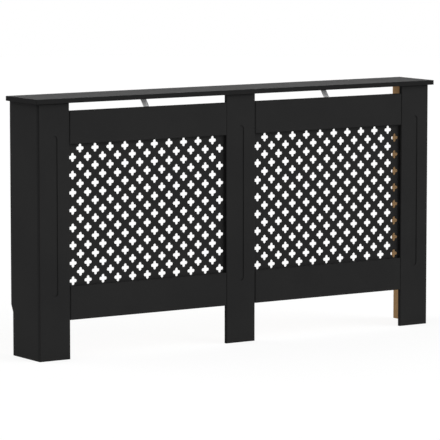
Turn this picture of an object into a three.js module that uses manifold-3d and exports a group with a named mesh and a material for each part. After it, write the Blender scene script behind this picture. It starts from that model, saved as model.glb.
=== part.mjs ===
// Radiator cover cabinet: a board cover that stands over a radiator, open at the back.
// Three legs and four rails frame two pierced lattice sheets. Two side panels stand behind the
// outer legs, and a top board lies over all of them.
// Millimetres. X runs along the wall, -Y faces the room, +Z is up.
// The origin is on the floor, in the middle of the cover's length and depth.
import * as THREE from 'three';
import { mergeVertices } from 'three/addons/utils/BufferGeometryUtils.js';
import Module from 'manifold-3d';

// Top board and body
const BOARD_LENGTH = 1520;
const BOARD_DEPTH = 190;
const BOARD_THICKNESS = 15;
const BODY_HEIGHT = 800; // floor to the underside of the top board
const END_OVERHANG = 14; // top board past each side panel
const FRONT_OVERHANG = 12; // top board past the faces of the legs

// Front frame
const LEG_WIDTH = 110;
const LEG_THICKNESS = 12;
const RAIL_STAND = 1; // rail face in front of leg face; the backs are flush
const SLOT_HEIGHT = 25; // warm-air slot between the top board and the upper rails
const UPPER_RAIL_HEIGHT = 104;
const LOWER_RAIL_HEIGHT = 106;
const TOE_HEIGHT = 123; // open gap under the lower rails

// Flute routed in the face of each leg, level with the lattice
const FLUTE_WIDTH = 22;
const FLUTE_LENGTH = 500;
const FLUTE_DEPTH = 2;
const FLUTE_END_STEPS = 6; // facets round each half-round end

// Lattice sheets, behind the frame
const SHEET_THICKNESS = 3;
const SHEET_LAP = 20; // sheet behind each leg and rail
const CROSS_SPAN = 27.4; // tip to tip of the round-ended cross that each hole follows
const CROSS_ARM = 10.4; // width of its arms
const CROSS_WAIST = 6.4; // a waist corner's distance from each centre line of the hole
const HOLE_PITCH_X = 27.25; // column to column; every second place is cut
const HOLE_PITCH_Z = 27.5; // row to row

// Side panels, with a notch at the back that clears a skirting board
const PANEL_THICKNESS = 15;
const NOTCH_DEPTH = 11.5;
const NOTCH_HEIGHT = 138; // floor to the foot of the notch's slope
const NOTCH_SLOPE = 23; // height of the slope that runs out to the back edge

// Dowels that join the rails to the legs
const DOWEL_DIAMETER = 5;
const DOWEL_LENGTH = 30;
const DOWEL_INSET = 25; // from a rail's top and bottom edges
const DOWEL_SIDES = 6;

// Screws, one size throughout
const SCREW_LENGTH = 10; // under the head
const SCREW_SHANK = 3.5; // diameter
const SCREW_HEAD = 7; // diameter
const SCREW_HEAD_HEIGHT = 2.5;
const SCREW_CROWN = 0.6; // top of the head's domed edge, as a share of the head
const SCREW_POINT = 2.5; // length of the point
const SCREW_SIDES = 6;

// Steel strap braces, from each upper rail up and back to the top board
const STRAP_WIDTH = 20;
const STEEL_THICKNESS = 2; // braces and brackets
const STRAP_RISE = 30; // of the sloping stretch, rail to board
const STRAP_RUN = 25;
const STRAP_TAB = 30; // flat tab at each end
const STRAP_HOLE_INSET = 12; // from the end of a tab

// Steel angle brackets
const BRACKET_LEAF = 28; // outside length of each leaf
const BRACKET_WIDTH = 18;
const BRACKET_HOLE_REACH = 18; // from the corner along each leaf
const SIDE_BRACKET_LOW = 190; // height of the lower side brackets
const SIDE_BRACKET_HIGH = 640; // and of the upper ones
const TOP_BRACKET_BACK = 60; // from the wall to the end brackets under the top board

// Clearances
const FIT_GAP = 0.3; // round dowels and screws, and past their ends
const SCREW_HOLE = 4.5; // diameter in the steel
const OVERCUT = 1; // how far a cutter stands out of the face that it cuts

// Places that several pieces share
const BODY_END = BOARD_LENGTH / 2 - END_OVERHANG; // outer face of a side panel and a leg's edge
const FACE_Y = FRONT_OVERHANG - BOARD_DEPTH / 2; // face of the legs
const BACK_Y = FACE_Y + LEG_THICKNESS; // back of the legs and rails
const WALL_Y = BOARD_DEPTH / 2;
const RAIL_THICKNESS = LEG_THICKNESS + RAIL_STAND;
const RAIL_MIDDLE_Y = BACK_Y - RAIL_THICKNESS / 2;
const UPPER_RAIL_BASE = BODY_HEIGHT - SLOT_HEIGHT - UPPER_RAIL_HEIGHT;
const OPENING_BASE = TOE_HEIGHT + LOWER_RAIL_HEIGHT;
const OPENING_HEIGHT = UPPER_RAIL_BASE - OPENING_BASE;
const OPENING_MIDDLE = OPENING_BASE + OPENING_HEIGHT / 2;
const BAY_WIDTH = BODY_END - LEG_WIDTH * 1.5; // clear width between two legs
const BAY_MIDDLE = (LEG_WIDTH + BAY_WIDTH) / 2; // from the middle of the cover
const LEG_MIDDLE = { left: LEG_WIDTH / 2 - BODY_END, centre: 0, right: BODY_END - LEG_WIDTH / 2 };
const BAYS = { left: -BAY_MIDDLE, right: BAY_MIDDLE };
const ENDS = { left: -1, right: 1 };
const RAILS = {
  upper: { base: UPPER_RAIL_BASE, height: UPPER_RAIL_HEIGHT },
  lower: { base: TOE_HEIGHT, height: LOWER_RAIL_HEIGHT },
};

const X = new THREE.Vector3(1, 0, 0);
const Y = new THREE.Vector3(0, 1, 0);
const Z = new THREE.Vector3(0, 0, 1);

// Finishes: black paint, raw board, zinc-plated steel and beech dowels
const FINISH = {
  paint: { color: 0x1c1c1c, roughness: 0.55, metalness: 0 },
  board: { color: 0x92754f, roughness: 0.9, metalness: 0 },
  steel: { color: 0xa6a6a4, roughness: 0.4, metalness: 0.9 },
  beech: { color: 0xc9a875, roughness: 0.8, metalness: 0 },
};

const wasm = await Module();
wasm.setup();

function solidOf(geometry) {
  const bare = geometry.clone().deleteAttribute('normal').deleteAttribute('uv');
  const merged = mergeVertices(bare);
  return new wasm.Manifold(new wasm.Mesh({
    numProp: 3,
    vertProperties: Float32Array.from(merged.attributes.position.array),
    triVerts: Uint32Array.from(merged.index.array),
  }));
}

function geometryOf(solid) {
  const { vertProperties, triVerts } = solid.getMesh();
  const geometry = new THREE.BufferGeometry();
  geometry.setAttribute('position', new THREE.BufferAttribute(vertProperties, 3));
  geometry.setIndex(new THREE.BufferAttribute(triVerts, 1));
  geometry.computeVertexNormals();
  return geometry;
}

function cut(geometry, cutters) {
  const left = cutters.reduce((solid, cutter) => solid.subtract(solidOf(cutter)), solidOf(geometry));
  return geometryOf(left);
}

// A round bar that starts at a point and runs along one of the axes
function bar(diameter, length, sides, start, direction) {
  const geometry = new THREE.CylinderGeometry(diameter / 2, diameter / 2, length, sides);
  geometry.translate(0, length / 2, 0);
  return geometry.applyMatrix4(turnTo(direction)).translate(start.x, start.y, start.z);
}

// The turn that carries +Y to another axis
function turnTo(direction) {
  const side = new THREE.Vector3(direction.y, direction.z, direction.x);
  const other = new THREE.Vector3().crossVectors(side, direction);
  return new THREE.Matrix4().makeBasis(side, direction, other);
}

// Blind bores asked for by the fittings, in the cover's frame, under the name of the bored piece
const bores = {};

function bore(host, diameter, depth, sides, mouth, direction) {
  const start = mouth.clone().addScaledVector(direction, -OVERCUT);
  bores[host] = bores[host] ?? [];
  bores[host].push(bar(diameter, depth + OVERCUT, sides, start, direction));
}

const cover = new THREE.Group();
const front = new THREE.Group();
const ends = new THREE.Group();
const fittings = new THREE.Group();
cover.add(front, ends, fittings);

function place(group, name, finish, geometry, x, y, z) {
  const mesh = new THREE.Mesh(geometry, new THREE.MeshStandardMaterial(FINISH[finish]));
  mesh.name = name;
  mesh.position.set(x, y, z);
  group.add(mesh);
}

// A bored piece is modelled about its own place, so its bores are brought to it
function placeBored(group, name, finish, geometry, x, y, z) {
  const cutters = (bores[name] ?? []).map((cutter) => cutter.translate(-x, -y, -z));
  place(group, name, finish, cut(geometry, cutters), x, y, z);
}

// A block centred along X, with its front face at y = 0 and its underside at z = 0
function board(length, depth, height) {
  return new THREE.BoxGeometry(length, depth, height).translate(0, depth / 2, height / 2);
}

// A flat shape drawn in X and Z, given a thickness that runs back from y = 0
function upright(shape, thickness) {
  const geometry = new THREE.ExtrudeGeometry(shape, { depth: thickness, bevelEnabled: false });
  geometry.applyMatrix4(new THREE.Matrix4().makeBasis(X, Z, Y.clone().negate()));
  return geometry.translate(0, thickness, 0);
}

// A profile drawn in Y and Z, carried along X and centred there
function alongX(shape, length) {
  const geometry = new THREE.ExtrudeGeometry(shape, { depth: length, bevelEnabled: false });
  geometry.applyMatrix4(new THREE.Matrix4().makeBasis(Y, Z, X));
  return geometry.translate(-length / 2, 0, 0);
}

// Screws: a pan head on a shank, with its hole in the board behind the steel
function screwGeometry() {
  const shank = SCREW_SHANK / 2;
  const head = SCREW_HEAD / 2;
  const outline = [
    new THREE.Vector2(0, -SCREW_LENGTH),
    new THREE.Vector2(shank, SCREW_POINT - SCREW_LENGTH),
    new THREE.Vector2(shank, 0),
    new THREE.Vector2(head, 0),
    new THREE.Vector2(head * SCREW_CROWN, SCREW_HEAD_HEIGHT),
    new THREE.Vector2(0, SCREW_HEAD_HEIGHT),
  ];
  return new THREE.LatheGeometry(outline, SCREW_SIDES);
}

// The screw goes through steel that lies on `face`, a point of the host's surface
function addScrew(name, host, face, inwards) {
  const depth = SCREW_LENGTH - STEEL_THICKNESS + FIT_GAP;
  bore(host, SCREW_SHANK + 2 * FIT_GAP, depth, SCREW_SIDES, face, inwards);
  const outwards = inwards.clone().negate();
  const seat = face.clone().addScaledVector(outwards, STEEL_THICKNESS);
  place(fittings, name, 'steel', screwGeometry().applyMatrix4(turnTo(outwards)), seat.x, seat.y, seat.z);
}

function screwHole(x, y, z, direction) {
  const start = new THREE.Vector3(x, y, z).addScaledVector(direction, -OVERCUT);
  return bar(SCREW_HOLE, STEEL_THICKNESS + 2 * OVERCUT, SCREW_SIDES, start, direction);
}

// Braces: a strap bent twice, flat on the back of the rail, sloping, then flat under the board
function addBrace(side, x) {
  const bend = new THREE.Vector2(STRAP_RUN, STRAP_RISE).normalize();
  const low = STEEL_THICKNESS * (1 - bend.x) / bend.y; // the inner bends, where the faces meet
  const high = STEEL_THICKNESS * (1 - bend.y) / bend.x;
  const outline = new THREE.Shape([
    new THREE.Vector2(0, -STRAP_RISE - STRAP_TAB),
    new THREE.Vector2(STEEL_THICKNESS, -STRAP_RISE - STRAP_TAB),
    new THREE.Vector2(STEEL_THICKNESS, -STRAP_RISE - low),
    new THREE.Vector2(STRAP_RUN + high, -STEEL_THICKNESS),
    new THREE.Vector2(STRAP_RUN + STRAP_TAB, -STEEL_THICKNESS),
    new THREE.Vector2(STRAP_RUN + STRAP_TAB, 0),
    new THREE.Vector2(STRAP_RUN, 0),
    new THREE.Vector2(0, -STRAP_RISE),
  ]);
  const railHole = STRAP_HOLE_INSET - STRAP_RISE - STRAP_TAB;
  const boardHole = STRAP_RUN + STRAP_TAB - STRAP_HOLE_INSET;
  const strap = cut(alongX(outline, STRAP_WIDTH), [
    screwHole(0, 0, railHole, Y),
    screwHole(0, boardHole, -STEEL_THICKNESS, Z),
  ]);
  place(fittings, `brace_${side}`, 'steel', strap, x, BACK_Y, BODY_HEIGHT);
  const onRail = new THREE.Vector3(x, BACK_Y, BODY_HEIGHT + railHole);
  const onBoard = new THREE.Vector3(x, BACK_Y + boardHole, BODY_HEIGHT);
  addScrew(`brace_${side}_rail_screw`, `upper_rail_${side}`, onRail, Y.clone().negate());
  addScrew(`brace_${side}_board_screw`, 'top_board', onBoard, Z);
}

// Angle brackets: leaf one runs along u on one piece, leaf two along v on the other
function addBracket(name, corner, u, v, hostOne, hostTwo) {
  const outline = new THREE.Shape([
    new THREE.Vector2(0, 0),
    new THREE.Vector2(BRACKET_LEAF, 0),
    new THREE.Vector2(BRACKET_LEAF, STEEL_THICKNESS),
    new THREE.Vector2(STEEL_THICKNESS, STEEL_THICKNESS),
    new THREE.Vector2(STEEL_THICKNESS, BRACKET_LEAF),
    new THREE.Vector2(0, BRACKET_LEAF),
  ]);
  const angle = new THREE.ExtrudeGeometry(outline, { depth: BRACKET_WIDTH, bevelEnabled: false });
  angle.translate(0, 0, -BRACKET_WIDTH / 2);
  const drilled = cut(angle, [
    screwHole(BRACKET_HOLE_REACH, 0, 0, Y),
    screwHole(0, BRACKET_HOLE_REACH, 0, X),
  ]);
  drilled.applyMatrix4(new THREE.Matrix4().makeBasis(u, v, new THREE.Vector3().crossVectors(u, v)));
  place(fittings, name, 'steel', drilled, corner.x, corner.y, corner.z);
  const one = corner.clone().addScaledVector(u, BRACKET_HOLE_REACH);
  const two = corner.clone().addScaledVector(v, BRACKET_HOLE_REACH);
  addScrew(`${name}_screw_1`, hostOne, one, v.clone().negate());
  addScrew(`${name}_screw_2`, hostTwo, two, u.clone().negate());
}

// Dowels: half in the rail's end and half in the leg's edge
function addDowels(rail, side, x) {
  const { base, height } = RAILS[rail];
  const joints = [
    { end: 'outer', leg: `leg_${side}`, towards: ENDS[side] },
    { end: 'inner', leg: 'leg_centre', towards: -ENDS[side] },
  ];
  for (const { end, leg, towards } of joints) {
    const direction = X.clone().multiplyScalar(towards);
    for (const [level, rise] of [['low', DOWEL_INSET], ['high', height - DOWEL_INSET]]) {
      const joint = new THREE.Vector3(x + towards * BAY_WIDTH / 2, RAIL_MIDDLE_Y, base + rise);
      const boreWidth = DOWEL_DIAMETER + 2 * FIT_GAP;
      const depth = DOWEL_LENGTH / 2 + FIT_GAP;
      bore(leg, boreWidth, depth, DOWEL_SIDES, joint, direction);
      bore(`${rail}_rail_${side}`, boreWidth, depth, DOWEL_SIDES, joint, direction.clone().negate());
      const start = new THREE.Vector3(-towards * DOWEL_LENGTH / 2, 0, 0);
      const dowel = bar(DOWEL_DIAMETER, DOWEL_LENGTH, DOWEL_SIDES, start, direction);
      place(front, `dowel_${rail}_${side}_${end}_${level}`, 'beech', dowel, joint.x, joint.y, joint.z);
    }
  }
}

function addRail(rail, side, x) {
  const { base, height } = RAILS[rail];
  const plank = board(BAY_WIDTH, RAIL_THICKNESS, height);
  placeBored(front, `${rail}_rail_${side}`, 'paint', plank, x, FACE_Y - RAIL_STAND, base);
}

// The flute is a straight groove with half-round ends
function fluteCutter() {
  const radius = FLUTE_WIDTH / 2;
  const reach = FLUTE_LENGTH / 2 - radius;
  const outline = new THREE.Shape();
  outline.absarc(0, reach, radius, 0, Math.PI);
  outline.absarc(0, -reach, radius, Math.PI, 2 * Math.PI);
  const groove = new THREE.ExtrudeGeometry(outline, {
    depth: FLUTE_DEPTH + OVERCUT,
    bevelEnabled: false,
    curveSegments: FLUTE_END_STEPS,
  });
  groove.applyMatrix4(new THREE.Matrix4().makeBasis(X, Z, Y.clone().negate()));
  return groove.translate(0, FLUTE_DEPTH, OPENING_MIDDLE);
}

function addLeg(position) {
  const plank = cut(board(LEG_WIDTH, LEG_THICKNESS, BODY_HEIGHT), [fluteCutter()]);
  placeBored(front, `leg_${position}`, 'paint', plank, LEG_MIDDLE[position], FACE_Y, 0);
}

// One hole of the lattice. Its four arms come to points, which reach just far enough to leave
// as much open as the round-ended cross does.
const ROUND_ENDS = Math.PI * CROSS_ARM ** 2 / 2; // area of the four half-round ends
const CROSS_AREA = 2 * (CROSS_SPAN - CROSS_ARM) * CROSS_ARM - CROSS_ARM ** 2 + ROUND_ENDS;
const ARM_REACH = CROSS_AREA / (4 * CROSS_WAIST);

function crossHole(x, z) {
  const corners = [];
  for (let arm = 0; arm < 4; arm += 1) {
    const across = arm % 2 === 0 ? 1 - arm : 0;
    const up = arm % 2 === 1 ? 2 - arm : 0;
    corners.push(new THREE.Vector2(x + across * ARM_REACH, z + up * ARM_REACH));
    corners.push(new THREE.Vector2(x + (across - up) * CROSS_WAIST, z + (across + up) * CROSS_WAIST));
  }
  return new THREE.Path(corners);
}

// Columns and rows are as many as the opening holds, with every second place left whole
function addLattice(side, x) {
  const halfWidth = BAY_WIDTH / 2 + SHEET_LAP;
  const halfHeight = OPENING_HEIGHT / 2 + SHEET_LAP;
  const sheet = new THREE.Shape([
    new THREE.Vector2(-halfWidth, -halfHeight),
    new THREE.Vector2(halfWidth, -halfHeight),
    new THREE.Vector2(halfWidth, halfHeight),
    new THREE.Vector2(-halfWidth, halfHeight),
  ]);
  const columns = Math.floor((BAY_WIDTH - CROSS_SPAN) / HOLE_PITCH_X) + 1;
  const rows = Math.floor((OPENING_HEIGHT - CROSS_SPAN) / HOLE_PITCH_Z) + 1;
  for (let column = 0; column < columns; column += 1) {
    for (let row = column % 2; row < rows; row += 2) {
      const acrossFromMiddle = (column - (columns - 1) / 2) * HOLE_PITCH_X;
      const upFromMiddle = (row - (rows - 1) / 2) * HOLE_PITCH_Z;
      sheet.holes.push(crossHole(acrossFromMiddle, upFromMiddle));
    }
  }
  place(front, `lattice_${side}`, 'paint', upright(sheet, SHEET_THICKNESS), x, BACK_Y, OPENING_MIDDLE);
}

function addSidePanel(side) {
  const depth = WALL_Y - BACK_Y;
  const outline = new THREE.Shape([
    new THREE.Vector2(0, 0),
    new THREE.Vector2(depth - NOTCH_DEPTH, 0),
    new THREE.Vector2(depth - NOTCH_DEPTH, NOTCH_HEIGHT),
    new THREE.Vector2(depth, NOTCH_HEIGHT + NOTCH_SLOPE),
    new THREE.Vector2(depth, BODY_HEIGHT),
    new THREE.Vector2(0, BODY_HEIGHT),
  ]);
  const x = ENDS[side] * (BODY_END - PANEL_THICKNESS / 2);
  placeBored(ends, `side_panel_${side}`, 'paint', alongX(outline, PANEL_THICKNESS), x, BACK_Y, 0);
}

// Fittings come first, because they say where the boards are bored
for (const [side, x] of Object.entries(BAYS)) {
  addBrace(side, x);
  addDowels('upper', side, x);
  addDowels('lower', side, x);
}
for (const [side, out] of Object.entries(ENDS)) {
  const inwards = X.clone().multiplyScalar(-out);
  const innerFace = out * (BODY_END - PANEL_THICKNESS);
  const panel = `side_panel_${side}`;
  for (const [level, height] of [['lower', SIDE_BRACKET_LOW], ['upper', SIDE_BRACKET_HIGH]]) {
    const corner = new THREE.Vector3(innerFace, BACK_Y, height);
    addBracket(`side_bracket_${side}_${level}`, corner, inwards, Y, `leg_${side}`, panel);
  }
  const corner = new THREE.Vector3(innerFace, WALL_Y - TOP_BRACKET_BACK, BODY_HEIGHT);
  addBracket(`top_bracket_${side}`, corner, inwards, Z.clone().negate(), 'top_board', panel);
}
const centreCorner = new THREE.Vector3(LEG_MIDDLE.centre, BACK_Y, BODY_HEIGHT);
addBracket('top_bracket_centre', centreCorner, Y, Z.clone().negate(), 'top_board', 'leg_centre');

for (const position of Object.keys(LEG_MIDDLE)) addLeg(position);
for (const [side, x] of Object.entries(BAYS)) {
  addRail('upper', side, x);
  addRail('lower', side, x);
  addLattice(side, x);
  addSidePanel(side);
}
const topBoard = board(BOARD_LENGTH, BOARD_DEPTH, BOARD_THICKNESS);
placeBored(cover, 'top_board', 'paint', topBoard, 0, -BOARD_DEPTH / 2, BODY_HEIGHT);

export default cover;
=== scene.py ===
from itertools import count
from math import cos, pi, radians, sin, sqrt

import bmesh
import bpy
from mathutils import Matrix, Vector


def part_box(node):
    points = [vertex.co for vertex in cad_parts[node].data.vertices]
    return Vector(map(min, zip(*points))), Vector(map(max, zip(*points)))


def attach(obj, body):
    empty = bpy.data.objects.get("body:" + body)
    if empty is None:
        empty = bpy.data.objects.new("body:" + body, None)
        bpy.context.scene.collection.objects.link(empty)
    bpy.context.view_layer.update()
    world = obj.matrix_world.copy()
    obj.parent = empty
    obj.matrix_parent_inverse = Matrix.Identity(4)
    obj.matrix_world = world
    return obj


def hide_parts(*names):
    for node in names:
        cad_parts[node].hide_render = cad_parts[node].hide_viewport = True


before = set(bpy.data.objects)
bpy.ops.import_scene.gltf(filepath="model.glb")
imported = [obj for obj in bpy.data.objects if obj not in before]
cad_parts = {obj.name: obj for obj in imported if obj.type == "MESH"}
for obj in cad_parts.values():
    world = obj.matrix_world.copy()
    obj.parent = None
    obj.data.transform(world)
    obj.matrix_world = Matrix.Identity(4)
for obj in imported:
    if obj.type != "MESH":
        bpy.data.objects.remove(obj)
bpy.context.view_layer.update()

MM = 0.001
X, Y, Z = Vector((1, 0, 0)), Vector((0, 1, 0)), Vector((0, 0, 1))
SIDES = {"left": -1, "right": 1}

# Boards
FRONT_CHAMFER = 2.4 * MM  # slope round the faces of the legs and rails, which meet in grooves
TOP_ARRIS = 1.0 * MM  # rounding of the top board's edges
BOARD_ARRIS = 0.7 * MM  # and of all other edges of boards
ARRIS_STEPS = 3
SHARP = radians(65)  # edges turned more than this are eased
HARD = radians(40)  # and edges turned more than this are shaded hard
BORE_RIM = 6 * MM  # edges shorter than this belong to the small blind bores and stay as they are
WELD = 0.01 * MM
SLIVER = 0.001 * MM**2
SLIVER_SWEEPS = 8
FLAT = radians(0.5)

# Flute in each leg
FLUTE_WIDTH = 22 * MM
FLUTE_LENGTH = 500 * MM
FLUTE_DEPTH = 2 * MM
FLUTE_HAIR = 0.05 * MM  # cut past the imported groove, so that none of its flat facets is left
FLUTE_ROUNDING = 0.8 * MM  # where the routed wall turns into the floor of the flute
FLUTE_END_STEPS = 28
FLUTE_MIDDLE = 450 * MM

# Lattice sheets
SHEET_THICKNESS = 3 * MM
SHEET_ARRIS = 0.35 * MM
CROSS_SPAN = 27.4 * MM  # tip to tip of a hole
CROSS_ARM = 10.4 * MM  # width of its arms
CROSS_FILLET = 1.5 * MM  # rounding between two arms
ARM_STEPS = 8
FILLET_STEPS = 3
HOLE_PITCH = (27.25 * MM, 27.5 * MM)
HOLE_COUNT = (21, 16)

# Steel
STEEL = 2 * MM
BRACKET_LEAF = 28 * MM
BRACKET_WIDTH = 18 * MM
BRACKET_HOLE_REACH = 18 * MM
STRAP_WIDTH = 20 * MM
STRAP_RISE = 30 * MM
STRAP_RUN = 25 * MM
STRAP_TAB = 30 * MM
STRAP_HOLE_INSET = 12 * MM
BEND_RADIUS = 2.6 * MM  # middle of the steel, at each bend
BEND_STEPS = 6
END_RADIUS = 4 * MM  # rounded corners of the straps and leaves
END_STEPS = 6
STEEL_ARRIS = 0.25 * MM
SCREW_HOLE = 4.5 * MM
HOLE_SIDES = 32

# Screws
SCREW_LENGTH = 10 * MM
SCREW_POINT = 2.5 * MM
SCREW_SHANK = 3.5 * MM
SCREW_CORE = 2.5 * MM
THREAD_PITCH = 1.1 * MM
SCREW_HEAD = 7 * MM
HEAD_HEIGHT = 2.5 * MM
HEAD_EDGE = 0.9 * MM  # upright rim under the dome
RECESS_SPAN = 4.2 * MM
RECESS_ARM = 1.1 * MM
RECESS_DEPTH = 1.7 * MM
TURN_STEPS = 40
THREAD_FLANK = 0.4  # share of the pitch from core to ridge
THREAD_CREST = 0.5  # and to the far side of the ridge
POINT_WAIST = (0.5, 0.6)  # share of the core and of the point where the tip swells
HEAD_ARRIS = 0.1 * MM
DOME_STEPS = 7
RECESS_TOP = (HEAD_HEIGHT * 1.4, 1.15)  # height and share of the span, above the head
RECESS_FLOOR = (HEAD_HEIGHT - RECESS_DEPTH, 0.45)
SCREW_SWING = 37  # degrees between one screw's cross and the next one's

# Tones, as the surface shows them in plain light
PAINT = (0.0155, 0.0155, 0.0157)
PAINT_WORN = (0.0200, 0.0199, 0.0197)
PAINT_EDGE = (0.0118, 0.0118, 0.0119)
BARE_BOARD = (0.365, 0.236, 0.120)
BARE_FLECK = (0.215, 0.126, 0.056)
BARE_FIBRE = (0.440, 0.325, 0.200)
HARDBOARD = (0.30, 0.185, 0.10)
HARDBOARD_FLECK = (0.15, 0.085, 0.042)
ZINC = (0.83, 0.83, 0.835)
ZINC_DULL = (0.66, 0.665, 0.67)
BEECH = (0.62, 0.42, 0.24)
BEECH_RAY = (0.42, 0.25, 0.125)

# Finishes: noise scales are features per metre, depths are those of the bump
PAINT_SHEEN = 0.035
PAINT_ROUGHNESS = 0.66
BARE_ROUGHNESS = 0.88
PAINT_CLOUDS = 5
PAINT_STIPPLE = 900
PAINT_DEPTH = 0.12 * MM
CORE_GRAIN = 420
BARE_MOTTLE = 16
BARE_FLECKS = 1300
BARE_FIBRES = 700
BARE_MISSES = 160  # specks of paint on the bare side
OVERSPRAY = 9 * MM  # width of the soft edge of the bare field under the top board
OVERSPRAY_WANDER = 6 * MM
OVERSPRAY_RAGGED = 70
BARE_START = 30 * MM  # from the back of the legs to that field
ZINC_SHINE = 0.3
ZINC_ROUGHNESS = 0.34
ZINC_CLOUDS = 90
ZINC_LINES = 700
ZINC_DEPTH = 0.03 * MM
BEECH_ROUGHNESS = 0.62
BEECH_RAYS = 900
BEECH_RINGS = 160
BEECH_DEPTH = 0.05 * MM

# Camera, floor and light
CAMERA_PLACE = Vector((-5.7357, -8.6696, 1.5914))
CAMERA_AZIMUTH = 0.58243
CAMERA_DOWN = 0.11528
CAMERA_LENS = 265.55
CAMERA_SENSOR = 36
CAMERA_REACH = 200
FLOOR_REACH = 14.0
FLOOR_SIDES = 96
FLOOR_TONE = (0.820, 0.820, 0.820)
FLOOR_CLOUD = (0.822, 0.822, 0.822)
FLOOR_CLOUDS = 3
FLOOR_GLOW = 0.8  # share of plain white in what the camera sees of the floor
FLOOR_WHITE = 1.08
ROOM_LIGHT = 0.3
SOFTBOXES = {  # place, spread in degrees, strength
    "front_right_softbox": ((4.0, -4.0, 2.0), 60, 2.75),
    "back_left_softbox": ((-4.0, 2.5, 3.8), 60, 1.35),
    "back_right_softbox": ((2.7, 4.1, 1.4), 40, 0.5),
}

# Places that several pieces share
INNER_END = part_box("side_panel_right")[0].x  # inner face of the side panels
FRAME_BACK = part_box("leg_centre")[1].y  # back of the legs and rails


class Wire:
    """A shader socket that takes part in sums like a number."""

    def __init__(self, finish, socket):
        self.finish = finish
        self.socket = socket

    def maths(self, operation, *terms):
        return self.finish.node("Math", {"operation": operation}, dict(enumerate(terms)))

    def __add__(self, other):
        return self.maths("ADD", self, other)

    def __sub__(self, other):
        return self.maths("SUBTRACT", self, other)

    def __mul__(self, other):
        return self.maths("MULTIPLY", self, other)

    def __rsub__(self, other):
        return self.maths("SUBTRACT", other, self)

    def __abs__(self):
        return self.maths("ABSOLUTE", self)

    __radd__ = __add__
    __rmul__ = __mul__

    def least(self, other):
        return self.maths("MINIMUM", self, other)

    def most(self, other):
        return self.maths("MAXIMUM", self, other)

    def rise(self, low, high):
        """0 below `low`, 1 above `high` and a smooth climb between."""
        settings = {"interpolation_type": "SMOOTHSTEP"}
        return self.finish.node("MapRange", settings, {"Value": self, "From Min": low, "From Max": high})


class Finish:
    """The nodes of a material or of the world, built up one node at a time."""

    def __init__(self, owner):
        owner.use_nodes = True
        self.tree = owner.node_tree
        self.tree.nodes.clear()

    def node(self, kind, settings=None, sockets=None, out=0):
        made = self.tree.nodes.new("ShaderNode" + kind)
        for name, value in (settings or {}).items():
            setattr(made, name, value)
        for name, value in (sockets or {}).items():
            if isinstance(value, Wire):
                self.tree.links.new(value.socket, made.inputs[name])
            else:
                made.inputs[name].default_value = value
        return Wire(self, made.outputs[out])

    def place(self):
        return self.node("TexCoord", out="Object")

    def facing(self, way):
        """How squarely the surface faces a way: 1 straight at it, -1 straight away from it."""
        normal = self.node("TexCoord", out="Normal")
        return self.node("VectorMath", {"operation": "DOT_PRODUCT"}, {0: normal, 1: way}, out="Value")

    def axis(self, index):
        return self.node("SeparateXYZ", sockets={0: self.place()}, out=index)

    def noise(self, scale, detail=2.0, stretch=(1, 1, 1), roughness=0.5):
        spread = self.node("VectorMath", {"operation": "MULTIPLY"}, {0: self.place(), 1: stretch})
        values = {"Vector": spread, "Scale": scale, "Detail": detail, "Roughness": roughness}
        return self.node("TexNoise", sockets=values)

    def blend(self, share, first, second):
        """A colour between two colours, each a wire or a plain tone."""
        pair = [c if isinstance(c, Wire) else (*c, 1) for c in (first, second)]
        sockets = {0: share, 6: pair[0], 7: pair[1]}
        return self.node("Mix", {"data_type": "RGBA"}, sockets, out=2)

    def surface(self, colour, roughness, height, depth, strength=1.0, **uniform):
        bump = self.node("Bump", sockets={"Height": height, "Distance": depth, "Strength": strength})
        sockets = {"Base Color": colour, "Roughness": roughness, "Normal": bump}
        self.show(self.node("BsdfPrincipled", sockets={**sockets, **uniform}))

    def show(self, shader, output="OutputMaterial"):
        last = self.tree.nodes.new("ShaderNode" + output)
        self.tree.links.new(shader.socket, last.inputs["Surface"])

    def seen_plainly(self):
        """1 for what the camera sees straight, in a mirror or through glass, 0 for all other light."""
        rays = [self.node("LightPath", out=f"Is {kind} Ray") for kind in ("Camera", "Glossy", "Transmission")]
        return rays[0].most(rays[1]).most(rays[2])


def painted_board(name, broad, bare_side, bare=BARE_BOARD, fleck=BARE_FLECK, inset=None):
    """Satin black on fibreboard: `broad` faces are smooth, edges show the board's core through the
    paint, and the side that faces `bare_side` is left bare."""
    material = bpy.data.materials.new(name)
    made = Finish(material)
    clouds = made.noise(PAINT_CLOUDS, detail=3)
    stipple = made.noise(PAINT_STIPPLE, detail=3, roughness=0.6)
    core = made.noise(CORE_GRAIN, detail=4, roughness=0.65)
    edge = 1 - abs(made.facing(broad)).rise(0.3, 0.8)

    share = made.facing(bare_side).rise(0.55, 0.9)
    if inset:
        share = share * inset(made)
    share = share * made.noise(BARE_MISSES, detail=3).rise(0.18, 0.24)

    paint = made.blend(clouds.rise(0.3, 0.7) * 0.5 + stipple * 0.25, PAINT, PAINT_WORN)
    paint = made.blend(edge, paint, made.blend(core, PAINT_EDGE, PAINT))
    mottle = made.noise(BARE_MOTTLE, detail=4)
    flecks = made.noise(BARE_FLECKS, detail=4, stretch=(0.45, 0.45, 1), roughness=0.72)
    fibres = made.noise(BARE_FIBRES, detail=5, stretch=(1, 1, 0.3), roughness=0.7)
    board = made.blend(flecks.rise(0.48, 0.78) * 0.8 + mottle.rise(0.35, 0.7) * 0.2, bare, fleck)
    board = made.blend(fibres.rise(0.52, 0.8) * 0.45, board, BARE_FIBRE)
    colour = made.blend(share, paint, board)

    painted_roughness = PAINT_ROUGHNESS + clouds * 0.06 + edge * 0.08
    roughness = painted_roughness + share * (BARE_ROUGHNESS - painted_roughness)
    height = stipple * 0.25 + core * (edge * 0.5 + share * 0.6)
    made.surface(colour, roughness, height, PAINT_DEPTH, 0.6, **{"Specular IOR Level": PAINT_SHEEN})
    return material


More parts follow.
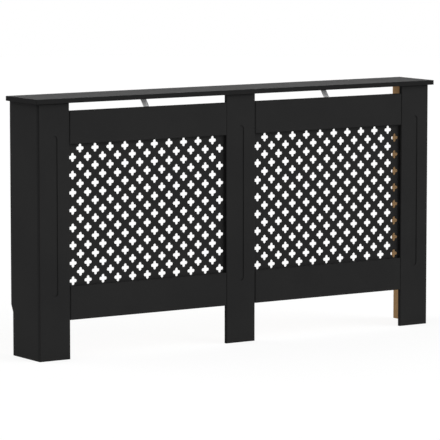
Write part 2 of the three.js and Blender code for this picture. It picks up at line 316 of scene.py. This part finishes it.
def steel_finish(name, grain):
    """Zinc-plated steel: fine drawing lines along the grain and the cloudy tone of the plating."""
    material = bpy.data.materials.new(name)
    made = Finish(material)
    clouds = made.noise(ZINC_CLOUDS, detail=3)
    lines = made.noise(ZINC_LINES, detail=3, stretch=grain, roughness=0.6)
    colour = made.blend(clouds.rise(0.35, 0.65) * 0.6 + lines * 0.4, ZINC, ZINC_DULL)
    roughness = ZINC_ROUGHNESS + clouds * 0.12 + lines * 0.06
    made.surface(colour, roughness, lines, ZINC_DEPTH, 0.5, Metallic=ZINC_SHINE)
    return material


def beech_finish(name):
    """Beech dowels, planed: short dark rays along the grain."""
    material = bpy.data.materials.new(name)
    made = Finish(material)
    rays = made.noise(BEECH_RAYS, detail=4, stretch=(0.08, 1, 1), roughness=0.6)
    rings = made.noise(BEECH_RINGS, detail=2, stretch=(0.1, 1, 1))
    colour = made.blend(rays.rise(0.5, 0.75) * 0.7 + rings * 0.3, BEECH, BEECH_RAY)
    made.surface(colour, BEECH_ROUGHNESS + rays * 0.15, rays, BEECH_DEPTH, 0.5)
    return material


def under_the_top(made):
    """The bare field of the underside stops short of the legs and side panels, in a soft edge."""
    from_end = INNER_END - abs(made.axis("X"))
    from_front = made.axis("Y") - FRAME_BACK
    wander = (made.noise(OVERSPRAY_RAGGED, detail=4) - 0.5) * OVERSPRAY_WANDER
    ragged = from_end.least(from_front - BARE_START) + wander
    return ragged.rise(-OVERSPRAY / 2, OVERSPRAY / 2)


FRONT_BOARD = painted_board("front_board_paint", Y, Y)
TOP_BOARD = painted_board("top_board_paint", Z, -Z, inset=under_the_top)
END_BOARDS = {
    side: painted_board(f"side_panel_paint_{side}", X, -out * X) for side, out in SIDES.items()
}
SHEET_BOARD = painted_board("lattice_paint", Y, Y, bare=HARDBOARD, fleck=HARDBOARD_FLECK)
STEEL_ACROSS = steel_finish("zinc_steel", (0.06, 1, 1))
SCREW_STEEL = steel_finish("zinc_screw", (1, 1, 1))
BEECH_DOWEL = beech_finish("beech_dowel")


def finished(mesh, material, smooth=True):
    mesh.materials.clear()
    mesh.materials.append(material)
    mesh.polygons.foreach_set("use_smooth", [smooth] * len(mesh.polygons))
    mesh.set_sharp_from_angle(angle=HARD)
    mesh.update()


def piece(name, mesh, slot, *stands_for):
    """A finished mesh becomes a piece of the cover that stands for its nodes."""
    made = bpy.data.objects.new(name, mesh)
    bpy.context.scene.collection.objects.link(made)
    made.modifiers.new("flat faces stay flat", "WEIGHTED_NORMAL").keep_sharp = True
    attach(made, "root")
    if stands_for:
        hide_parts(*stands_for)
    return made


def cut_away(mesh, cutters):
    """The mesh less its cutters."""
    body = bpy.data.objects.new("body", mesh)
    bpy.context.scene.collection.objects.link(body)
    tools = []
    for cutter in cutters:
        tool = bpy.data.objects.new("cutter", cutter)
        bpy.context.scene.collection.objects.link(tool)
        tools.append(tool)
        step = body.modifiers.new("cut", "BOOLEAN")
        step.operation, step.solver, step.object = "DIFFERENCE", "EXACT", tool
    bpy.context.view_layer.update()
    left = bpy.data.meshes.new_from_object(body.evaluated_get(bpy.context.evaluated_depsgraph_get()))
    for spent in (body, *tools):
        bpy.data.objects.remove(spent)
    return left


def loft(rings, closed_ends=True):
    """A skin over rings of points; every ring has as many points and turns the same way."""
    bm = bmesh.new()
    rows = [[bm.verts.new(point) for point in ring] for ring in rings]
    for row, after in zip(rows, rows[1:]):
        for i in range(len(row)):
            j = (i + 1) % len(row)
            bm.faces.new((row[i], row[j], after[j], after[i]))
    if closed_ends:
        bm.faces.new(rows[0][::-1])
        bm.faces.new(rows[-1])
    bmesh.ops.recalc_face_normals(bm, faces=bm.faces)
    return bm


def mesh_of(bm, name):
    mesh = bpy.data.meshes.new(name)
    bm.to_mesh(mesh)
    bm.free()
    return mesh


def round_bar(diameter, start, along, sides):
    """A cutter bar from a point, along a vector."""
    turn = Z.rotation_difference(along.normalized())
    angles = [2 * pi * i / sides for i in range(sides)]
    ring = [turn @ Vector((cos(a), sin(a), 0)) * (diameter / 2) for a in angles]
    return mesh_of(loft([[start + p for p in ring], [start + along + p for p in ring]]), "bar")


# Boards
def flute_cutter(x, face):
    """A routing bit's path: straight walls that turn into the floor with a small rounding."""
    reach = FLUTE_LENGTH / 2 - FLUTE_WIDTH / 2
    rings = []
    wall = FLUTE_DEPTH + FLUTE_HAIR - FLUTE_ROUNDING
    steps = [(-FLUTE_DEPTH, 0)]
    for turn in (0, 30, 60, 90):
        a = radians(turn)
        steps.append((wall + FLUTE_ROUNDING * sin(a), FLUTE_ROUNDING * (1 - cos(a))))
    for depth, shrink in steps:
        radius = FLUTE_WIDTH / 2 + FLUTE_HAIR - shrink
        ring = []
        for end in (1, -1):
            for i in range(FLUTE_END_STEPS + 1):
                a = pi * i / FLUTE_END_STEPS + (0 if end > 0 else pi)
                point = (x + radius * cos(a), face + depth, FLUTE_MIDDLE + end * reach + radius * sin(a))
                ring.append(point)
        rings.append(ring)
    return mesh_of(loft(rings), "flute")


def welded(mesh, dissolve=False):
    """The mesh as a bmesh, with its split corners joined and, if asked, its flat faces whole."""
    bm = bmesh.new()
    bm.from_mesh(mesh)
    bmesh.ops.remove_doubles(bm, verts=bm.verts, dist=WELD)
    if dissolve:
        bmesh.ops.dissolve_limit(bm, angle_limit=FLAT, verts=bm.verts, edges=bm.edges)
    bmesh.ops.dissolve_degenerate(bm, edges=bm.edges, dist=WELD)
    return bm


def ease(bm, edges, offset, steps=ARRIS_STEPS):
    bmesh.ops.bevel(
        bm, geom=edges, offset=offset, offset_type="OFFSET", segments=steps, profile=0.5,
        affect="EDGES", clamp_overlap=False,
    )


def packed_board(node):
    """A copy of the node's mesh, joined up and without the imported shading."""
    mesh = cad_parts[node].data.copy()
    if "custom_normal" in mesh.attributes:
        mesh.attributes.remove(mesh.attributes["custom_normal"])
    return mesh_of(welded(mesh), node)


def board_piece(node, mesh, material, arris, chamfered=False):
    """The board with its long edges eased, and its face chamfered all round if asked."""
    bm = welded(mesh, dissolve=True)
    if chamfered:
        low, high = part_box(node)

        def round_the_face(edge):
            ends = [v.co for v in edge.verts]
            on_face = all(abs(end.y - low.y) < WELD for end in ends)
            in_flute = all(low.x + FLUTE_WIDTH < end.x < high.x - FLUTE_WIDTH for end in ends)
            return on_face and not in_flute

        ease(bm, [e for e in bm.edges if round_the_face(e)], FRONT_CHAMFER, steps=1)
    long_edges = [e for e in bm.edges if e.calc_face_angle(0) > SHARP and e.calc_length() > BORE_RIM]
    ease(bm, long_edges, arris)
    mesh = mesh_of(welded(mesh_of(bm, node)), node)
    finished(mesh, material)
    return piece(f"{node}_finished", mesh, "black_board", node)


def fluted_leg(node):
    """A leg with its flute cut again, in fine steps."""
    low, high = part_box(node)
    cut = cut_away(packed_board(node), [flute_cutter((low.x + high.x) / 2, low.y)])
    board_piece(node, cut, FRONT_BOARD, BOARD_ARRIS, chamfered=True)


board_piece("top_board", packed_board("top_board"), TOP_BOARD, TOP_ARRIS)
for side in SIDES:
    node = f"side_panel_{side}"
    board_piece(node, packed_board(node), END_BOARDS[side], BOARD_ARRIS)
    for level in ("upper", "lower"):
        node = f"{level}_rail_{side}"
        board_piece(node, packed_board(node), FRONT_BOARD, BOARD_ARRIS, chamfered=True)
for position in ("left", "centre", "right"):
    fluted_leg(f"leg_{position}")


# Lattice sheets
def cross_outline():
    """A cross with round-ended arms and a small fillet in each inner corner."""
    half = CROSS_ARM / 2
    tip = CROSS_SPAN / 2 - half
    points = []
    for quarter in range(4):
        turn = Matrix.Rotation(quarter * pi / 2, 2)
        for i in range(ARM_STEPS + 1):
            a = -pi / 2 + pi * i / ARM_STEPS
            points.append(turn @ Vector((tip + half * cos(a), half * sin(a))))
        for i in range(FILLET_STEPS + 1):
            a = -pi / 2 - (pi / 2) * i / FILLET_STEPS
            middle = half + CROSS_FILLET
            points.append(turn @ Vector((middle + CROSS_FILLET * cos(a), middle + CROSS_FILLET * sin(a))))
    return points


def pierced_sheet(width, height):
    """A flat sheet with its holes, cut in one go and with every cut edge eased."""
    drawing = bpy.data.curves.new("sheet", "CURVE")
    drawing.dimensions, drawing.fill_mode = "2D", "BOTH"
    drawing.extrude = SHEET_THICKNESS / 2 - SHEET_ARRIS
    drawing.bevel_depth, drawing.bevel_resolution, drawing.offset = SHEET_ARRIS, 1, -SHEET_ARRIS

    def outline(points):
        spline = drawing.splines.new("POLY")
        spline.points.add(len(points) - 1)
        spline.use_cyclic_u = True
        for slot, point in zip(spline.points, points):
            slot.co = (point[0], point[1], 0, 1)

    outline([(sx * width / 2, sy * height / 2) for sx, sy in ((-1, -1), (1, -1), (1, 1), (-1, 1))])
    hole = cross_outline()
    columns, rows = HOLE_COUNT
    for column in range(columns):
        for row in range(column % 2, rows, 2):
            across, up = column - (columns - 1) / 2, row - (rows - 1) / 2
            at = Vector((across * HOLE_PITCH[0], up * HOLE_PITCH[1]))
            outline([at + point for point in hole])
    drawn = bpy.data.objects.new("sheet", drawing)
    bpy.context.scene.collection.objects.link(drawn)
    bpy.context.view_layer.update()
    mesh = bpy.data.meshes.new_from_object(drawn.evaluated_get(bpy.context.evaluated_depsgraph_get()))
    bpy.data.objects.remove(drawn)
    return mesh


def without_slivers(bm):
    """Holes in a row leave triangles of no width between them; each gives its long edge a turn."""
    bmesh.ops.triangulate(bm, faces=[f for f in bm.faces if abs(f.normal.z) > 0.99])
    for _ in range(SLIVER_SWEEPS):
        for face in [f for f in bm.faces if f.calc_area() < SLIVER]:
            if face.is_valid:
                bmesh.utils.edge_rotate(max(face.edges, key=lambda edge: edge.calc_length()))
    return bm


for side in SIDES:
    node = f"lattice_{side}"
    low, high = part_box(node)
    bm = without_slivers(welded(pierced_sheet(high.x - low.x, high.z - low.z)))
    bmesh.ops.rotate(bm, matrix=Matrix.Rotation(pi / 2, 3, "X"), verts=bm.verts)
    bmesh.ops.translate(bm, vec=(low + high) / 2, verts=bm.verts)
    bmesh.ops.recalc_face_normals(bm, faces=bm.faces)
    sheet = mesh_of(bm, node)
    finished(sheet, SHEET_BOARD)
    piece(f"{node}_pierced", sheet, "black_board", node)


# Bent steel
def bent_path(corners):
    """Points along a line of straight stretches whose corners are rounded, with their directions."""
    points = [(corners[0], (corners[1] - corners[0]).normalized())]
    for before, corner, after in zip(corners, corners[1:], corners[2:]):
        back, on = (before - corner).normalized(), (after - corner).normalized()
        half = back.angle(on) / 2
        middle = corner + (back + on).normalized() * (BEND_RADIUS / sin(half))
        first = corner + back * (BEND_RADIUS * cos(half) / sin(half)) - middle
        swing = pi - 2 * half
        turn = 1 if (-back).x * on.y - (-back).y * on.x > 0 else -1
        for i in range(BEND_STEPS + 1):
            spin = Matrix.Rotation(turn * swing * i / BEND_STEPS, 2)
            points.append((middle + spin @ first, spin @ -back))
    points.append((corners[-1], (corners[-1] - corners[-2]).normalized()))
    return points


def bent_steel(corners, width, holes):
    """A steel strap along a bent line, with rounded ends, eased edges and round holes."""
    path = bent_path(corners)
    last_point, last_way = path[-1]
    start = [(path[0][0] + path[0][1] * d, path[0][1], d) for d in end_steps()]
    finish = [(last_point - last_way * d, last_way, d) for d in reversed(end_steps())]
    middle = [(point, way, END_RADIUS) for point, way in path[1:-1]]
    rings = []
    for point, way, from_end in start + middle + finish:
        side = width / 2 - END_RADIUS + sqrt(max(0, END_RADIUS**2 - (END_RADIUS - from_end) ** 2))
        up = Vector((-way.y, way.x)) * (STEEL / 2)
        ring = [(point + up, side), (point - up, side), (point - up, -side), (point + up, -side)]
        rings.append([(p.x, p.y, s) for p, s in ring])
    strap = mesh_of(loft(rings), "strap")
    drills = [round_bar(SCREW_HOLE, at - way * STEEL, way * 3 * STEEL, HOLE_SIDES) for at, way in holes]
    bm = welded(cut_away(strap, drills), dissolve=True)
    ease(bm, [e for e in bm.edges if e.calc_face_angle(0) > SHARP], STEEL_ARRIS, steps=2)
    return mesh_of(bm, "bent_steel")


def end_steps():
    return [END_RADIUS * (1 - cos(pi / 2 * i / END_STEPS)) for i in range(END_STEPS + 1)]


def set_down(mesh, u, v, corner):
    """Carries a mesh drawn in (u, v) to its place in the cover."""
    frame_of = Matrix((u, v, u.cross(v))).transposed().to_4x4()
    mesh.transform(Matrix.Translation(corner) @ frame_of)
    finished(mesh, STEEL_ACROSS)
    return mesh


def flat(x, y):
    return Vector((x, y))


# Screws
def screw_mesh():
    """A pan-head screw along +Z: its head stands on z = 0, its shank goes down, cross recess on top."""
    core, ridge = SCREW_CORE / 2, SCREW_SHANK / 2
    profile = [(0, -SCREW_LENGTH), (core * POINT_WAIST[0], -SCREW_LENGTH + SCREW_POINT * POINT_WAIST[1])]
    turns = int((SCREW_LENGTH - SCREW_POINT) / THREAD_PITCH)
    for i in range(turns):
        z = -SCREW_LENGTH + SCREW_POINT + THREAD_PITCH * i
        flank, crest = z + THREAD_PITCH * THREAD_FLANK, z + THREAD_PITCH * THREAD_CREST
        profile += [(core, z), (ridge, flank), (ridge, crest)]
    profile += [(core, -THREAD_PITCH * THREAD_FLANK), (core, 0), (SCREW_HEAD / 2 - HEAD_ARRIS, 0)]
    profile += [(SCREW_HEAD / 2, HEAD_ARRIS), (SCREW_HEAD / 2, HEAD_EDGE)]
    for i in range(1, DOME_STEPS):
        a = pi / 2 * i / DOME_STEPS
        profile.append((SCREW_HEAD / 2 * cos(a), HEAD_EDGE + (HEAD_HEIGHT - HEAD_EDGE) * sin(a)))
    profile.append((0, HEAD_HEIGHT))
    bm = bmesh.new()
    line = [bm.verts.new((r, 0, z)) for r, z in profile]
    edges = [bm.edges.new(pair) for pair in zip(line, line[1:])]
    bmesh.ops.spin(
        bm, geom=line + edges, axis=Z, cent=(0, 0, 0), angle=2 * pi, steps=TURN_STEPS, use_merge=True,
    )
    bmesh.ops.remove_doubles(bm, verts=bm.verts, dist=WELD)
    bmesh.ops.recalc_face_normals(bm, faces=bm.faces)
    turned = mesh_of(bm, "turned_screw")
    return mesh_of(welded(cut_away(turned, [recess_cutter()])), "screw")


def recess_cutter():
    """The cross recess, narrowing as it goes down."""
    rings = []
    for z, share in (RECESS_TOP, RECESS_FLOOR):
        reach, arm = RECESS_SPAN / 2 * share, RECESS_ARM / 2 * (0.5 + share / 2)
        ring = []
        for quarter in range(4):
            turn = Matrix.Rotation(quarter * pi / 2, 2)
            ring += [turn @ flat(reach, -arm), turn @ flat(reach, arm), turn @ flat(arm, arm)]
        rings.append([(p.x, p.y, z) for p in ring])
    return mesh_of(loft(rings), "recess")


SCREW = screw_mesh()
finished(SCREW, SCREW_STEEL)

screw_turns = count(SCREW_SWING, SCREW_SWING)  # each stopped where it was tight


def screw_piece(node, outwards):
    """A screw whose head stands on the steel where the node's does."""
    low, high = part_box(node)
    middle, reach = (low + high) / 2, (high - low) / 2
    top = middle + Vector([abs(r * o) * (1 if o > 0 else -1) for r, o in zip(reach, outwards)])
    made = piece(f"{node}_pan_head", SCREW, "steel", node)
    spin = Matrix.Rotation(radians(next(screw_turns)), 4, "Z")
    turn = Z.rotation_difference(outwards).to_matrix().to_4x4() @ spin
    made.matrix_world = Matrix.Translation(top - outwards * HEAD_HEIGHT) @ turn


def bracket_piece(node, corner, u, v):
    """An angle bracket in a corner: one leaf along u and one along v, a screw through each."""
    leaf, half = BRACKET_LEAF, STEEL / 2
    corners = [flat(leaf, half), flat(half, half), flat(half, leaf)]
    reach = BRACKET_HOLE_REACH
    holes = [(Vector((reach, 0, 0)), Y), (Vector((0, reach, 0)), X)]
    mesh = bent_steel(corners, BRACKET_WIDTH, holes)
    piece(f"{node}_bent", set_down(mesh, u, v, corner), "steel", node)
    screw_piece(f"{node}_screw_1", v)
    screw_piece(f"{node}_screw_2", u)


def brace_piece(side):
    """A strap from the back of the upper rail up and back to the underside of the top board."""
    node = f"brace_{side}"
    low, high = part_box(node)
    slope = flat(STRAP_RUN, STRAP_RISE).normalized()
    low_bend = STEEL * (1 - slope.x) / slope.y / 2
    high_bend = STEEL * (1 - slope.y) / slope.x / 2
    corners = [
        flat(STEEL / 2, -STRAP_RISE - STRAP_TAB),
        flat(STEEL / 2, -STRAP_RISE - low_bend),
        flat(STRAP_RUN + high_bend, -STEEL / 2),
        flat(STRAP_RUN + STRAP_TAB, -STEEL / 2),
    ]
    holes = [
        (Vector((0, STRAP_HOLE_INSET - STRAP_RISE - STRAP_TAB, 0)), X),
        (Vector((STRAP_RUN + STRAP_TAB - STRAP_HOLE_INSET, -STEEL, 0)), Y),
    ]
    mesh = bent_steel(corners, STRAP_WIDTH, holes)
    corner = Vector(((low.x + high.x) / 2, low.y, high.z))
    piece(f"{node}_bent", set_down(mesh, Y, Z, corner), "steel", node)
    screw_piece(f"{node}_rail_screw", Y)
    screw_piece(f"{node}_board_screw", -Z)


for side, out in SIDES.items():
    brace_piece(side)
    inwards = X * -out
    for level in ("lower", "upper"):
        node = f"side_bracket_{side}_{level}"
        low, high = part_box(node)
        corner = Vector((out * INNER_END, FRAME_BACK, (low.z + high.z) / 2))
        bracket_piece(node, corner, inwards, Y)
    node = f"top_bracket_{side}"
    low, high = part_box(node)
    corner = Vector((out * INNER_END, (low.y + high.y) / 2, high.z))
    bracket_piece(node, corner, inwards, -Z)
low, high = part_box("top_bracket_centre")
bracket_piece("top_bracket_centre", Vector((0, low.y, high.z)), Y, -Z)

# Dowels stay as they were packed, in beech
for node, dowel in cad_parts.items():
    if node.startswith("dowel_"):
        dowel.material_slots[0].material = BEECH_DOWEL


# Camera, floor and light
def stand_camera():
    data = bpy.data.cameras.new("camera")
    data.lens, data.sensor_width, data.clip_end = CAMERA_LENS, CAMERA_SENSOR, CAMERA_REACH
    camera = bpy.data.objects.new("camera", data)
    bpy.context.scene.collection.objects.link(camera)
    level = cos(CAMERA_DOWN)
    ahead = Vector((sin(CAMERA_AZIMUTH) * level, cos(CAMERA_AZIMUTH) * level, -sin(CAMERA_DOWN)))
    camera.location = CAMERA_PLACE
    camera.rotation_euler = ahead.to_track_quat("-Z", "Y").to_euler()
    bpy.context.scene.camera = camera


def lay_floor():
    material = bpy.data.materials.new("floor_paper")
    made = Finish(material)
    colour = made.blend(made.noise(FLOOR_CLOUDS), FLOOR_TONE, FLOOR_CLOUD)
    paper = made.node("BsdfDiffuse", sockets={"Color": colour})
    white = made.node("Emission", sockets={"Color": (1, 1, 1, 1), "Strength": FLOOR_WHITE})
    made.show(made.node("MixShader", sockets={0: made.seen_plainly() * FLOOR_GLOW, 1: paper, 2: white}))
    bm = bmesh.new()
    bmesh.ops.create_circle(bm, cap_ends=True, radius=FLOOR_REACH, segments=FLOOR_SIDES)
    mesh = mesh_of(bm, "floor")
    finished(mesh, material, smooth=False)
    floor = bpy.data.objects.new("floor", mesh)
    bpy.context.scene.collection.objects.link(floor)


def light_room():
    world = bpy.data.worlds.new("room")
    bpy.context.scene.world = world
    room = Finish(world)
    strength = ROOM_LIGHT + room.seen_plainly() * (1 - ROOM_LIGHT)
    light = room.node("Background", sockets={"Color": (1, 1, 1, 1), "Strength": strength})
    room.show(light, "OutputWorld")


def hang_softbox(name, place, spread, strength):
    """A big far softbox: light from round one direction, even over the whole cover."""
    data = bpy.data.lights.new(name, "SUN")
    data.angle, data.energy = radians(spread), strength
    lamp = bpy.data.objects.new(name, data)
    bpy.context.scene.collection.objects.link(lamp)
    lamp.location = place
    lamp.rotation_euler = (-Vector(place)).to_track_quat("-Z", "Y").to_euler()


stand_camera()
lay_floor()
light_room()
for softbox, (place, spread, strength) in SOFTBOXES.items():
    hang_softbox(softbox, place, spread, strength)
bpy.context.scene.view_settings.view_transform = "Standard"
